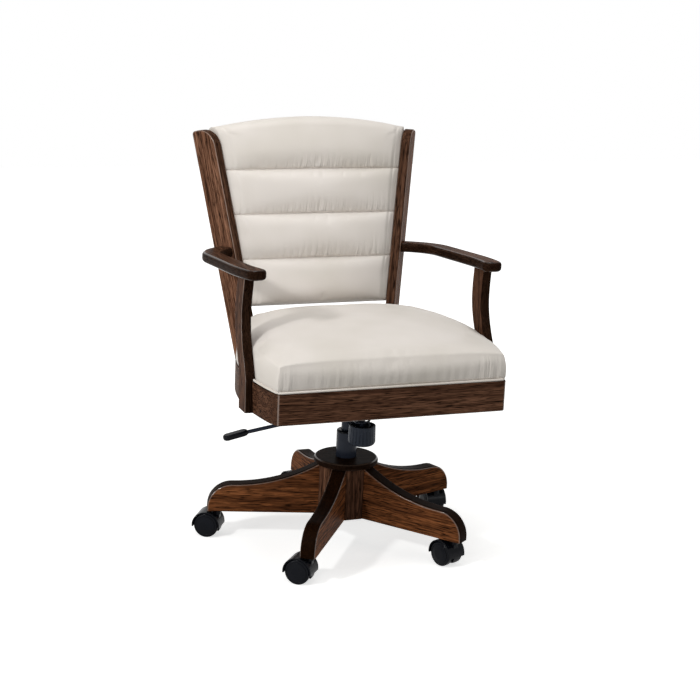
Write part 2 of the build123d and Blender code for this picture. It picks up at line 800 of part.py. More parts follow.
def back_section(x, bulge, crown, top):
    """Side outline of the back cushion at a distance across: sewn channels and a rolled top."""
    rear = -back_cushion_depth
    outline = [Line((0, rear), (0, crown))]
    for index in range(channel_count - 1):
        low = channel_height * index
        high = low + channel_height
        middle = (low + high) / 2
        outline.append(ThreePointArc((low, crown), (middle, crown + bulge), (high, crown)))
    low = channel_height * (channel_count - 1)
    roll = (crown - rear) * 0.5
    outline.append(ThreePointArc((low, crown), ((low + top - roll) / 2, crown + bulge), (top - roll, crown)))
    outline.append(ThreePointArc((top - roll, crown), (top, crown - roll), (top - roll, rear)))
    outline.append(Line((top - roll, rear), (0, rear)))
    frame = back_plane()
    plane = Plane(origin=frame.origin + frame.x_dir * x, x_dir=frame.y_dir, z_dir=frame.x_dir)
    return plane * make_face(outline)


def trim_between_posts(shape, gap):
    """Cut a wide solid back to the posts' inner faces, less a gap."""
    for side in (-1, 1):
        face = post_plane(side)
        limit = Plane(origin=face.origin - face.z_dir * gap, z_dir=face.z_dir)
        shape = split(shape, bisect_by=limit, keep=Keep.BOTTOM)
    return shape


def make_back():
    for side, name in ((-1, "left"), (1, "right")):
        save(f"back_post_{name}", back_post(side, post_edge_round))

    span = back_foot_half_width + 110
    full = channel_height * (channel_count - 1) + top_channel_height
    sections = [
        back_section(-span, channel_bulge * 0.5, -6, full - back_top_arch),
        back_section(0, channel_bulge, back_crown, full),
        back_section(span, channel_bulge * 0.5, -6, full - back_top_arch),
    ]
    cushion = trim_between_posts(loft(sections), soft_clearance)
    save("back_cushion", cushion)

    frame = back_plane()
    low = back_panel_inset
    high = full - back_top_arch - 2 * back_panel_inset
    board = box_between(
        (-span, low, -back_cushion_depth - soft_clearance - back_panel_thickness),
        (span, high, -back_cushion_depth - soft_clearance),
    )
    save("back_panel", trim_between_posts(frame.location * board, 0))


# Arms

def arm_bend():
    """Radius and start of the arm's rear bend, which meets the post's outer face squarely."""
    plane = post_plane(1)
    centre = plane.origin + plane.y_dir * post_length_to(plane, arm_back_height)
    centre = centre + plane.x_dir * (post_depth / 2) + plane.z_dir * post_thickness
    turn = radians(90 - post_toe)
    bend = (arm_reach_half_width - centre.X) / (1 - cos(turn))
    return bend, centre.Y - bend * sin(turn), turn


def arm_side(offset):
    """Plan points of one long side of the right arm, an offset away from its middle line."""
    bend, bend_start, turn = arm_bend()
    run = arm_straight_front_y - arm_front_y
    draw = arm_reach_half_width - arm_front_half_width
    sweep_radius = (run**2 + draw**2) / (2 * draw)
    sweep_angle = asin(run / sweep_radius)

    def front_point(angle):
        radius = sweep_radius + offset
        x = arm_reach_half_width - sweep_radius + radius * cos(angle)
        return x, arm_straight_front_y - radius * sin(angle)

    def back_point(angle):
        radius = bend + offset
        x = arm_reach_half_width - bend + radius * cos(angle)
        return x, bend_start + radius * sin(angle)

    x, y = back_point(turn)
    tail = (x - post_thickness * sin(turn), y + post_thickness * cos(turn))
    front = [front_point(sweep_angle), front_point(sweep_angle / 2), front_point(0)]
    back = [back_point(0), back_point(turn / 2), back_point(turn)]
    return front, back, tail


def arm_plan():
    """Plan outline of the right arm: from its front end, along the seat, round to the post."""
    inner_front, inner_back, inner_tail = arm_side(-arm_width / 2)
    outer_front, outer_back, outer_tail = arm_side(arm_width / 2)
    outline = [
        ThreePointArc(*outer_front),
        Line(outer_front[2], outer_back[0]),
        ThreePointArc(*outer_back),
        Line(outer_back[2], outer_tail),
        Line(outer_tail, inner_tail),
        Line(inner_tail, inner_back[2]),
        ThreePointArc(*inner_back),
        Line(inner_back[0], inner_front[2]),
        ThreePointArc(*inner_front),
        Line(inner_front[0], outer_front[0]),
    ]
    return make_face(outline)


def right_arm():
    """A flat bowed arm: its plan outline cut to a sloping slab, with rounded edges."""
    low = arm_back_height - 2 * arm_width
    plan = Pos(0, 0, low) * extrude(arm_plan(), 5 * arm_width)
    nose = plan.edges().filter_by(Axis.Z).group_by(Axis.Y)
    plan = fillet(nose[0] + nose[1], arm_end_round)
    back_y = 2 * back_foot_y
    slope = (arm_front_height - arm_back_height) / (arm_front_y - back_foot_y)
    half = arm_thickness / 2

    def level(y, offset):
        return arm_front_height + (y - arm_front_y) * slope + offset

    front_y = arm_front_y - arm_width
    slab = Polyline(
        (front_y, level(front_y, -half)),
        (back_y, level(back_y, -half)),
        (back_y, level(back_y, half)),
        (front_y, level(front_y, half)),
        close=True,
    )
    band = extrude(Plane.YZ * make_face(slab), 2 * arm_reach_half_width)
    arm = plan & band
    rims = arm.edges().filter_by(lambda edge: abs(edge.tangent_at(0.5).Z) < 0.3)
    arm = fillet(rims, arm_edge_round)
    return split(arm, bisect_by=post_cut_plane(1), keep=Keep.TOP)


def arm_post_blank(clearance=0.0):
    """The right arm support before it is fitted: an S-shaped side outline of even thickness."""
    depth = arm_post_depth + clearance
    high = arm_front_height

    def edge(offset):
        return Spline(
            (arm_post_rail_y + offset, rail_top),
            (arm_post_knee_y + offset, arm_post_knee_height),
            (arm_post_waist_y + offset, arm_post_waist_height),
            (arm_post_head_y + offset, high),
            tangents=((0.3, 1), (-0.12, 1)),
        )

    front = -clearance
    foot_front = arm_post_foot_y + front
    foot_back = arm_post_foot_y + depth
    outline = [
        Line((foot_front, rail_bottom), (arm_post_rail_y + front, rail_top)),
        edge(front),
        Line((arm_post_head_y + front, high), (arm_post_head_y + depth, high)),
        edge(depth),
        Line((arm_post_rail_y + depth, rail_top), (foot_back, rail_bottom)),
        Line((foot_back, rail_bottom), (foot_front, rail_bottom)),
    ]
    inner = arm_post_outer_half_width - arm_post_thickness - clearance
    slab = extrude(Plane.YZ * make_face(outline), arm_post_thickness + 2 * clearance)
    foot = Pos(inner, 0, rail_bottom)
    return foot * Rot(0, -arm_post_lean, 0) * Pos(0, 0, -rail_bottom) * slab


def right_arm_post(arm):
    """A curved arm support, cut to the arm's underside, with its outer edges rounded."""
    post = split(arm_post_blank(), bisect_by=Plane.XY.offset(rail_bottom), keep=Keep.TOP)
    post = (post - arm).solids().sort_by(Axis.Z)[0]
    faces = post.faces().sort_by(Axis.X)
    long_edges = faces[-1].edges().filter_by(lambda edge: edge.length > arm_post_depth + 1)
    return fillet(long_edges, arm_post_edge_round)


def make_arms():
    arm = right_arm()
    post = right_arm_post(arm)
    save("arm_right", arm)
    save("arm_left", mirror(arm, about=Plane.YZ))
    save("arm_post_right", post)
    save("arm_post_left", mirror(post, about=Plane.YZ))


os.makedirs("parts", exist_ok=True)
make_casters()
make_base()
make_gas_lift()
make_tilt_mechanism()
make_tension()
make_lever()
make_seat_frame()
make_seat_cushion()
make_back()
make_arms()
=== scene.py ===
# %% [markdown]
# # A wooden desk chair, dressed for a studio picture
# The chair stands on five oak legs with casters and has a leather seat and a channelled leather back.
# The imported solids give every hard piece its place, so this lesson adds only what solids can't show:
# soft upholstery, wood grain, leather, light and a camera.

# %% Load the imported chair
import json
import math

import bmesh
import bpy
import numpy as np
from mathutils import Matrix, Vector


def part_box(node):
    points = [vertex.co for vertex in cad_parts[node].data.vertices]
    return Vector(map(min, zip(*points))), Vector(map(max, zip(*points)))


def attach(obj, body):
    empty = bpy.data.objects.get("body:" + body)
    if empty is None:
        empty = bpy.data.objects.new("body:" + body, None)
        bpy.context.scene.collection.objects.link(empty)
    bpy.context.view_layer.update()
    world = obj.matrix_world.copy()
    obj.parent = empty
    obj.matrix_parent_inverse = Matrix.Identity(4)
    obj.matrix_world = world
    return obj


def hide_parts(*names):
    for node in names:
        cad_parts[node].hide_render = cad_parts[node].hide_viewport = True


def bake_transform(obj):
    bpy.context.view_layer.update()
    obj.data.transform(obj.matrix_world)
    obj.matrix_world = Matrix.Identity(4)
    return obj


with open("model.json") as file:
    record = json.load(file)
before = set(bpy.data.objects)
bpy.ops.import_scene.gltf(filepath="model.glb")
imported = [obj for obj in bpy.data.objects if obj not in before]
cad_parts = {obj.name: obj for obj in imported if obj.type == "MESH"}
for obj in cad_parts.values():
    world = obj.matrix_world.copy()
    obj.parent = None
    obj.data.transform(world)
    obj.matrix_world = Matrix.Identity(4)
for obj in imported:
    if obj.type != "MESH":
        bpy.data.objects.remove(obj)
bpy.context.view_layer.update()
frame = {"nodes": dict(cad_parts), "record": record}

scene = bpy.context.scene
nodes = frame["nodes"]
MM = 0.001

# %% [markdown]
# ## Camera
# The picture was taken from the sitter's front right, a little above seat height, with a long lens.
# A long lens far away keeps the legs nearly parallel, as in a catalogue picture.
# The camera is leaned a little, because the picture is, and it is set by its own axes instead of by tracking.

# %% Camera
picture_pixels = 700
focal_pixels = 1645
turn = math.radians(21.45)
pitch = math.radians(14.55)
lean = math.radians(2.53)
distance = 3.796
eye_height = 1.460
aside = -0.0014

right = Vector((math.cos(turn), -math.sin(turn), 0))
ahead = Vector((math.sin(turn), math.cos(turn), 0))
up = Vector((0, 0, 1))
look = ahead * math.cos(pitch) - up * math.sin(pitch)
top = ahead * math.sin(pitch) + up * math.cos(pitch)
image_right = right * math.cos(lean) + top * math.sin(lean)
image_top = top * math.cos(lean) - right * math.sin(lean)

lens = bpy.data.cameras.new("studio_camera")
lens.sensor_width = 36
lens.lens = lens.sensor_width * focal_pixels / picture_pixels
camera = bpy.data.objects.new("studio_camera", lens)
scene.collection.objects.link(camera)
camera.matrix_world = Matrix((image_right, image_top, -look)).transposed().to_4x4()
camera.location = up * eye_height - ahead * distance + right * aside
scene.camera = camera
print("lens", round(lens.lens, 1), "mm")

# %% [markdown]
# ## Light, floor and background
# A small key lamp at the left throws the arm's crisp shadow on the seat, and a low lamp there lights the legs.
# A large lamp overhead and a weak one at the right soften the rest, as in a bright catalogue studio.
# The floor and the room show white to the camera, and the floor still catches the chair's shadow.
# White comes from the background's own colour, and not from stronger lamps, so that the leather doesn't clip.

# %% Node helper, colours and stage
def hex_linear(text):
    """An sRGB hex colour as linear red, green, blue and alpha."""
    parts = [int(text[i:i + 2], 16) / 255 for i in (1, 3, 5)]
    return [p / 12.92 if p <= 0.04045 else ((p + 0.055) / 1.055) ** 2.4 for p in parts] + [1.0]


def add(tree, kind, inputs=None, **settings):
    """Add one node, set its properties, and fill its sockets with values or links."""
    node = tree.nodes.new(kind)
    for name, value in settings.items():
        setattr(node, name, value)
    for name, value in (inputs or {}).items():
        if isinstance(value, bpy.types.NodeSocket):
            tree.links.new(value, node.inputs[name])
        else:
            node.inputs[name].default_value = value
    return node


room_light = 0.27
world = bpy.data.worlds.new("studio_room")
world.use_nodes = True
tree = world.node_tree
tree.nodes.clear()


def seen_directly(tree):
    """One for rays from the camera, from a mirror-like surface or through glass, and zero for soft light."""
    path = add(tree, "ShaderNodeLightPath")
    shiny = add(tree, "ShaderNodeMath", {0: path.outputs["Is Glossy Ray"], 1: path.outputs["Is Transmission Ray"]},
                operation="MAXIMUM")
    return add(tree, "ShaderNodeMath", {0: path.outputs["Is Camera Ray"], 1: shiny.outputs[0]}, operation="MAXIMUM")


seen = seen_directly(tree)
glow = add(tree, "ShaderNodeBackground", {"Color": hex_linear("#F4F4F2"), "Strength": room_light})
white = add(tree, "ShaderNodeBackground", {"Color": (1, 1, 1, 1), "Strength": 1.0})
mixed = add(tree, "ShaderNodeMixShader", {0: seen.outputs[0], 1: glow.outputs[0], 2: white.outputs[0]})
add(tree, "ShaderNodeOutputWorld", {"Surface": mixed.outputs[0]})
scene.world = world
scene.view_settings.view_transform = "Standard"


def soft_lamp(name, place, aim, size, power):
    """A square area lamp that points at a place on the chair."""
    data = bpy.data.lights.new(name, "AREA")
    data.size = size
    data.energy = power
    lamp = bpy.data.objects.new(name, data)
    scene.collection.objects.link(lamp)
    lamp.location = place
    lamp.rotation_mode = "QUATERNION"
    lamp.rotation_quaternion = (Vector(aim) - Vector(place)).to_track_quat("-Z", "Y")
    return lamp


seat_middle = (0, -0.05, 0.55)
soft_lamp("key_lamp", (-2.6, -1.2, 2.1), seat_middle, 0.25, 35)
soft_lamp("low_left_lamp", (-2.7, -0.8, 0.8), (0, -0.05, 0.40), 0.7, 15)
soft_lamp("overhead_lamp", (0.0, -0.3, 3.0), seat_middle, 1.6, 31)
soft_lamp("right_lamp", (2.0, -2.3, 1.4), seat_middle, 0.9, 11)

half_floor = 6.0
shadow_room, white_from = 0.5, 2.2
floor_glow = 0.64
corners = [(-half_floor, -half_floor, 0), (half_floor, -half_floor, 0),
           (half_floor, half_floor, 0), (-half_floor, half_floor, 0)]
floor_mesh = bpy.data.meshes.new("studio_floor")
floor_mesh.from_pydata(corners, [], [(0, 1, 2, 3)])
floor = bpy.data.objects.new("studio_floor", floor_mesh)
scene.collection.objects.link(floor)
paper = bpy.data.materials.new("white_paper_floor")
paper.use_nodes = True
tree = paper.node_tree
tree.nodes.clear()
place = add(tree, "ShaderNodeTexCoord").outputs["Object"]
far = add(tree, "ShaderNodeVectorMath", {0: place}, operation="LENGTH").outputs["Value"]
glow = add(tree, "ShaderNodeMapRange", {
    "Value": far, "From Min": shadow_room, "From Max": white_from, "To Min": floor_glow, "To Max": 1.0},
    interpolation_type="SMOOTHSTEP")
matt = add(tree, "ShaderNodeBsdfDiffuse", {"Color": hex_linear("#F2F2F0")})
dull = add(tree, "ShaderNodeBsdfDiffuse", {"Color": hex_linear("#A6A6A4")})
lift = add(tree, "ShaderNodeEmission", {"Color": (1, 1, 1, 1), "Strength": glow.outputs[0]})
both = add(tree, "ShaderNodeAddShader", {0: matt.outputs[0], 1: lift.outputs[0]})
pick = add(tree, "ShaderNodeMixShader", {0: seen_directly(tree).outputs[0], 1: dull.outputs[0], 2: both.outputs[0]})
add(tree, "ShaderNodeOutputMaterial", {"Surface": pick.outputs[0]})
floor_mesh.materials.append(paper)
print("stage: four lamps, room light", room_light)

# %% [markdown]
# ## Stained oak
# Oak is a ring-porous wood: rows of long open pores, and a stain that sinks deeper into them.
# A satin lacquer on top gives soft highlights, and a lighter colour along the edges is a painted highlight.
# Edge faces are darker, partly from a deeper stain and partly from painted shade.
# The grain follows each board's length, so one function turns the same pattern along a given direction.
# Stretched noise is used instead of a wave, because sawn oak shows short broken streaks more than smooth rings.

# %% Stained oak
def stained_oak(name, along, face, face_stain_and_shade, edge, highlight_share, tone, shine):
    """Dark stained, lacquered oak with its grain along one direction and its broad faces square to another.

    Edge faces are darker than broad faces, partly by a deeper stain and partly by painted shade.
    Two shares set that darkening on the broad faces and on the edges, and a third paints a lighter highlight
    on the arris between them. Shine is the arris's share of lacquer.
    """
    material = bpy.data.materials.new(name)
    material.use_nodes = True
    tree = material.node_tree
    tree.nodes.clear()
    length = Vector(along).normalized()
    side = length.orthogonal().normalized()
    turn_grain = Matrix((length, side, length.cross(side))).to_euler()
    place = add(tree, "ShaderNodeTexCoord").outputs["Object"]
    board = add(tree, "ShaderNodeMapping", {"Vector": place, "Rotation": turn_grain}).outputs[0]

    # Streak sizes in metres: length along the grain, then width across it. Real pores are about 0.3 mm wide.
    # They are drawn wider, so that they show from a few metres away.
    ring = (1 / 0.300, 1 / 0.009, 1 / 0.009)
    streak = (1 / 0.070, 1 / 0.0019, 1 / 0.0019)
    pore = (1 / 0.030, 1 / 0.0013, 1 / 0.0013)
    ring_at = add(tree, "ShaderNodeVectorMath", {0: board, 1: ring}, operation="MULTIPLY").outputs[0]
    streak_at = add(tree, "ShaderNodeVectorMath", {0: board, 1: streak}, operation="MULTIPLY").outputs[0]
    pore_at = add(tree, "ShaderNodeVectorMath", {0: board, 1: pore}, operation="MULTIPLY").outputs[0]
    rings = add(tree, "ShaderNodeTexNoise", {"Vector": ring_at, "Scale": 1.0, "Detail": 3.0, "Distortion": 0.6})
    streaks = add(tree, "ShaderNodeTexNoise", {"Vector": streak_at, "Scale": 1.0, "Detail": 2.0, "Distortion": 0.3})
    pores = add(tree, "ShaderNodeTexNoise", {"Vector": pore_at, "Scale": 1.0, "Detail": 1.0})
    ring_share = add(tree, "ShaderNodeMapRange", {"Value": rings.outputs[0], "From Min": 0.30, "From Max": 0.70})
    streak_share = add(tree, "ShaderNodeMapRange", {"Value": streaks.outputs[0], "From Min": 0.44, "From Max": 0.70})
    pore_share = add(tree, "ShaderNodeMapRange", {"Value": pores.outputs[0], "From Min": 0.54, "From Max": 0.64})

    body = add(tree, "ShaderNodeMix", {0: ring_share.outputs[0], 6: hex_linear(tone[0]), 7: hex_linear(tone[1])},
               data_type="RGBA")
    streaked = add(tree, "ShaderNodeMix", {0: streak_share.outputs[0], 6: body.outputs[2], 7: hex_linear("#2A170E")},
                   data_type="RGBA")
    pored = add(tree, "ShaderNodeMix", {0: pore_share.outputs[0], 6: streaked.outputs[2], 7: hex_linear("#170A05")},
                data_type="RGBA")

    # Painted shade with some darker stain: faces turned away from the broad face are mixed towards near-black, and
    # broad faces by their own share.
    normal = add(tree, "ShaderNodeTexCoord").outputs["Normal"]
    square = add(tree, "ShaderNodeVectorMath", {0: normal, 1: Vector(face).normalized()}, operation="DOT_PRODUCT")
    size = add(tree, "ShaderNodeMath", {0: square.outputs["Value"]}, operation="ABSOLUTE")
    stain_and_painted_shade = add(tree, "ShaderNodeMapRange", {"Value": size.outputs[0], "From Min": 0.94, "From Max": 0.70,
                                              "To Min": face_stain_and_shade, "To Max": edge})
    stained = add(tree, "ShaderNodeMix", {0: stain_and_painted_shade.outputs[0], 6: pored.outputs[2], 7: hex_linear("#0C0502")},
                  data_type="RGBA")

    # An arris is turned part of the way from the broad face to the edge. Its colour is lightened there as a painted
    # highlight.
    rounded = add(tree, "ShaderNodeBevel", {"Radius": 0.0015}, samples=4)
    rise = add(tree, "ShaderNodeMapRange", {"Value": size.outputs[0], "From Min": 0.55, "From Max": 0.80})
    fall = add(tree, "ShaderNodeMapRange", {"Value": size.outputs[0], "From Min": 0.985, "From Max": 0.90})
    arris = add(tree, "ShaderNodeMath", {0: rise.outputs[0], 1: fall.outputs[0]}, operation="MULTIPLY")
    painted_arris_highlight = add(tree, "ShaderNodeMath", {0: arris.outputs[0], 1: highlight_share}, operation="MULTIPLY")
    lacquer = add(tree, "ShaderNodeMath", {0: arris.outputs[0], 1: shine}, operation="MULTIPLY")
    colour = add(tree, "ShaderNodeMix", {0: painted_arris_highlight.outputs[0], 6: stained.outputs[2], 7: hex_linear("#AE9484")},
                 data_type="RGBA")
    bump = add(tree, "ShaderNodeBump", {"Height": pores.outputs[0], "Normal": rounded.outputs[0],
                                        "Strength": 0.25, "Distance": 0.0006})
    gloss = add(tree, "ShaderNodeMapRange", {"Value": streaks.outputs[0], "To Min": 0.36, "To Max": 0.50})
    shader = add(tree, "ShaderNodeBsdfPrincipled", {
        "Base Color": colour.outputs[2], "Roughness": gloss.outputs[0], "Normal": bump.outputs[0],
        "IOR": 1.45, "Specular IOR Level": 0.01, "Coat Weight": lacquer.outputs[0], "Coat Roughness": 0.10})
    add(tree, "ShaderNodeOutputMaterial", {"Surface": shader.outputs[0]})
    return material


leg_count = 5
first_leg = math.radians(-52.9)
post_toe = math.radians(33)
rail_tone = ("#55382A", "#8C644D")
post_tone = ("#6A4735", "#A0745B")
leg_tone = ("#57321D", "#A2653D")
# Each board: grain direction, broad-face direction, darkening on broad faces and on edges (darker stain with painted
# shade), share of painted arris highlight, tone and shine.
grain = {
    "base_hub": ((0, 0, 1), (0, 0, 1), 0.9, 0.1, 0.0, rail_tone, 1.0),
    "base_cover_disc": ((1, 0, 0), (0, 0, 1), 0.9, 0.9, 0.12, rail_tone, 1.0),
    "seat_rail_front": ((1, 0, 0), (0, 1, 0), 0.1, 0.4, 0.3, rail_tone, 1.0),
    "seat_rail_back": ((1, 0, 0), (0, 1, 0), 0.1, 0.4, 0.3, rail_tone, 1.0),
}
for side, sign in (("left", -1), ("right", 1)):
    post_along = Vector((sign * 0.1533, 0.243, 1.0)).normalized()
    post_ahead = Vector((-sign * math.sin(post_toe), -math.cos(post_toe), 0))
    grain["back_post_" + side] = (post_along, post_along.cross(post_ahead), 0.0, 0.6, 0.6, post_tone, 1.0)
    grain["seat_rail_" + side] = ((-sign * 0.06, 1, 0), (1, sign * 0.06, 0), 0.35, 0.85, 0.0, rail_tone, 0.0)
    grain["arm_" + side] = ((-sign * 0.08, 1, -0.08), (0, 0.08, 1), 0.5, 0.85, 0.0, rail_tone, 0.6)
    grain["arm_post_" + side] = ((0, 0.1, 1), (1, 0, 0), 0.3, 0.85, 0.25, rail_tone, 1.0)
for index in range(leg_count):
    angle = first_leg + 2 * math.pi / leg_count * index
    outwards = (math.cos(angle), math.sin(angle), 0)
    grain[f"base_leg_{index + 1}"] = (outwards, (-outwards[1], outwards[0], 0), 0.0, 0.95, 0.22, leg_tone, 1.0)


def dress(node, material):
    """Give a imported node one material."""
    mesh = nodes[node].data
    mesh.materials.clear()
    mesh.materials.append(material)


for node, board in grain.items():
    dress(node, stained_oak("stained_oak_" + node, *board))
print("stained oak on", len(grain), "boards")

# %% [markdown]
# ## Leather, plastic and metal
# The upholstery is a smooth off-white leather: a fine pebble grain, a soft sheen and almost no colour change.
# The casters, knob and lever grip are moulded nylon and ABS, with a fine spark-eroded texture.
# The lift and the tilt box are powder-coated steel, and the hidden fittings are zinc-plated.
# The outside of the back is a board, and leather covers it as on a finished chair.

# %% Leather
def off_white_leather(name, tone):
    """Smooth aniline leather with a fine grain. Real grain is about 0.8 mm, drawn coarser to show."""
    material = bpy.data.materials.new(name)
    material.use_nodes = True
    tree = material.node_tree
    tree.nodes.clear()
    place = add(tree, "ShaderNodeTexCoord").outputs["Object"]
    pebble = add(tree, "ShaderNodeTexVoronoi", {"Vector": place, "Scale": 1 / 0.0022}, feature="SMOOTH_F1")
    crease = add(tree, "ShaderNodeTexNoise", {"Vector": place, "Scale": 1 / 0.012, "Detail": 4.0})
    cloud = add(tree, "ShaderNodeTexNoise", {"Vector": place, "Scale": 1 / 0.160, "Detail": 2.0})
    share = add(tree, "ShaderNodeMapRange", {"Value": cloud.outputs[0], "From Min": 0.35, "From Max": 0.65})
    colour = add(tree, "ShaderNodeMix", {0: share.outputs[0], 6: hex_linear(tone), 7: hex_linear("#E4DDD6")},
                 data_type="RGBA")
    height = add(tree, "ShaderNodeMath", {0: pebble.outputs["Distance"], 1: crease.outputs[0]}, operation="ADD")
    fine = add(tree, "ShaderNodeBump", {"Height": height.outputs[0], "Strength": 0.12, "Distance": 0.0005})

    # Stitches pull the leather into short upright puckers. The mesh says where, and noise says how.
    pulled = add(tree, "ShaderNodeAttribute", attribute_name="pucker").outputs["Fac"]
    upright = add(tree, "ShaderNodeVectorMath", {0: place, 1: (1 / 0.0060, 0.0, 1 / 0.070)}, operation="MULTIPLY")
    folds = add(tree, "ShaderNodeTexNoise", {"Vector": upright.outputs[0], "Scale": 1.0, "Detail": 2.0})
    pucker = add(tree, "ShaderNodeMath", {0: folds.outputs[0], 1: pulled}, operation="MULTIPLY")
    bump = add(tree, "ShaderNodeBump", {"Height": pucker.outputs[0], "Normal": fine.outputs[0],
                                        "Strength": 1.0, "Distance": 0.0055})
    gloss = add(tree, "ShaderNodeMapRange", {"Value": crease.outputs[0], "To Min": 0.44, "To Max": 0.58})
    shader = add(tree, "ShaderNodeBsdfPrincipled", {
        "Base Color": colour.outputs[2], "Roughness": gloss.outputs[0], "Normal": bump.outputs[0],
        "IOR": 1.48, "Specular IOR Level": 0.35, "Sheen Weight": 0.08, "Sheen Roughness": 0.5})
    add(tree, "ShaderNodeOutputMaterial", {"Surface": shader.outputs[0]})
    return material


leather = off_white_leather("off_white_leather", "#DBD4CB")
cord_leather = off_white_leather("off_white_leather_cord", "#E2DAD0")
print("leather ready")

# %% Plastic and metal
def moulded_or_coated(name, dark, light, rough, metallic, grit, shine=0.12):
    """A plain hard finish: a fine grit in its colour, gloss and bump. Grit is a size in metres."""
    material = bpy.data.materials.new(name)
    material.use_nodes = True
    tree = material.node_tree
    tree.nodes.clear()
    place = add(tree, "ShaderNodeTexCoord").outputs["Object"]
    speck = add(tree, "ShaderNodeTexNoise", {"Vector": place, "Scale": 1 / grit, "Detail": 3.0})
    haze = add(tree, "ShaderNodeTexNoise", {"Vector": place, "Scale": 1 / 0.030, "Detail": 3.0})
    colour = add(tree, "ShaderNodeMix", {0: haze.outputs[0], 6: hex_linear(dark), 7: hex_linear(light)},
                 data_type="RGBA")
    gloss = add(tree, "ShaderNodeMapRange", {
        "Value": haze.outputs[0], "To Min": rough - 0.07, "To Max": rough + 0.07})
    rounded = add(tree, "ShaderNodeBevel", {"Radius": 0.0010}, samples=4)
    bump = add(tree, "ShaderNodeBump", {"Height": speck.outputs[0], "Normal": rounded.outputs[0],
                                        "Strength": 0.15, "Distance": 0.0002})
    shader = add(tree, "ShaderNodeBsdfPrincipled", {
        "Base Color": colour.outputs[2], "Roughness": gloss.outputs[0], "Normal": bump.outputs[0],
        "Metallic": metallic, "Specular IOR Level": shine})
    add(tree, "ShaderNodeOutputMaterial", {"Surface": shader.outputs[0]})
    return material


moulded_nylon = moulded_or_coated("moulded_black_nylon", "#06070B", "#0E1017", 0.26, 0.0, 0.0009, 0.08)
wheel_nylon = moulded_or_coated("turned_black_nylon", "#06070B", "#0F121A", 0.22, 0.0, 0.0012, 0.08)
coated_steel = moulded_or_coated("black_powder_coat", "#232834", "#333947", 0.24, 0.0, 0.0008)
moulded_abs = moulded_or_coated("moulded_black_abs", "#222936", "#323A48", 0.28, 0.0, 0.0009)
plated_steel = moulded_or_coated("zinc_plated_steel", "#A9ABAD", "#C3C5C6", 0.32, 1.0, 0.0006, 0.5)
birch_board = moulded_or_coated("birch_plywood", "#A98458", "#C6A274", 0.70, 0.0, 0.0030)
finish_of_slot = {"black_plastic": moulded_nylon, "wheel_plastic": wheel_nylon, "black_steel": coated_steel,
                  "bright_steel": plated_steel, "plain_board": birch_board}
dressed = 0
for row in frame["record"]["subparts"]:
    if row["material_slot"] in finish_of_slot:
        dress(row["node"], finish_of_slot[row["material_slot"]])
        dressed += 1
dress("back_panel", leather)
dress("tension_knob", moulded_abs)
print("plastic and metal on", dressed, "nodes")

# %% [markdown]
# ## Seat cushion
# The real cushion is foam under a leather cover with a boxed front: a top panel, a front band and sewn corners.
# It could be sculpted, but its sizes are known, so a grid is laid over the seat's plan and lifted to a crown.
# A cloth simulation with a little air pressure then rounds it the way stuffing does, with its foot held still.

# %% Plan of the seat
seat_front = -282 * MM
seat_back = 190 * MM
front_half = 275 * MM
back_half = 206 * MM
side_bow = 51 * MM
rail_top = 459 * MM

run = seat_back - seat_front
draw = front_half - back_half
chord = math.hypot(run, draw)
bow_radius = chord**2 / (8 * side_bow) + side_bow / 2
bow_x = (front_half + back_half) / 2 + (side_bow - bow_radius) * run / chord
bow_y = (seat_front + seat_back) / 2 + (side_bow - bow_radius) * draw / chord


def half_width(y):
    """Half the seat's width at a distance along it."""
    return bow_x + math.sqrt(bow_radius**2 - (y - bow_y) ** 2)


print("seat is", round(2 * half_width(bow_y) / MM), "mm wide at most")

# %% Seat cushion blank
arm_post_inner = 291 * MM
arm_post_depth = 50 * MM
arm_post_lean = math.radians(1.7)
rail_bottom = 388 * MM
cushion_front = seat_front + 2.5 * MM
cushion_back = seat_back - 12 * MM
across, along, rise = 112, 52, 12


def seat_edge_height(v):
    """Height of the cushion's side edge above the rail, from front to back."""
    return (58 + 13 * math.sin(math.pi * min(1, 0.08 + 0.84 * v))) * MM


def seat_crown(v):
    """Height of the crown above the side edge, from front to back."""
    return (9 + 28 * math.sin(math.pi * (0.02 + 0.98 * min(v, 1) ** 0.85) * 0.62) ** 0.9) * MM


def seat_top(u, v):
    """Height of the cushion's top at shares across and along. It falls away at the back."""
    full = (1 - abs(u) ** 2.5) ** 0.62 if abs(u) < 1 else 0.0
    fall = max(0.0, (v - 0.72) / 0.28)
    full *= math.sqrt(max(0.0, 1 - 0.93 * fall**2))
    return rail_top + seat_edge_height(v) + seat_crown(v) * full


def seat_inset(h):
    """How far the cushion's side is drawn in, from its foot (0) to its top edge (1)."""
    foot = max(0.0, 1 - h / 0.14)
    return (1.0 + 8.5 * foot**1.5 + 7.0 * max(0.0, h - 0.45) ** 1.6 / 0.55**1.6) * MM


def seat_plan(u, v, inset):
    """A point of the plan at shares across and along, drawn in by an inset."""
    y = cushion_front + inset + (cushion_back - cushion_front - 2 * inset) * v
    return u * (half_width(y) - inset), y


def seat_side_point(u, v, h):
    """A point of the cushion at shares across and along, and at a share of its height there."""
    x, y = seat_plan(u, v, seat_inset(h))
    return x, y, rail_top + 0.4 * MM + (seat_top(u, v) - rail_top) * h


def add_patch(mesh, point, rows, columns):
    """A grid of faces through a function of row and column shares."""
    grid = [[mesh.verts.new(point(i / rows, j / columns)) for j in range(columns + 1)] for i in range(rows + 1)]
    for i in range(rows):
        for j in range(columns):
            mesh.faces.new((grid[i][j], grid[i][j + 1], grid[i + 1][j + 1], grid[i + 1][j]))


def closed_mesh(name, patches):
    """Join patches into one closed mesh whose faces point outwards."""
    mesh = bmesh.new()
    for point, rows, columns in patches:
        add_patch(mesh, point, rows, columns)
    bmesh.ops.remove_doubles(mesh, verts=mesh.verts, dist=0.05 * MM)
    bmesh.ops.recalc_face_normals(mesh, faces=mesh.faces)
    data = bpy.data.meshes.new(name)
    mesh.to_mesh(data)
    mesh.free()
    return data


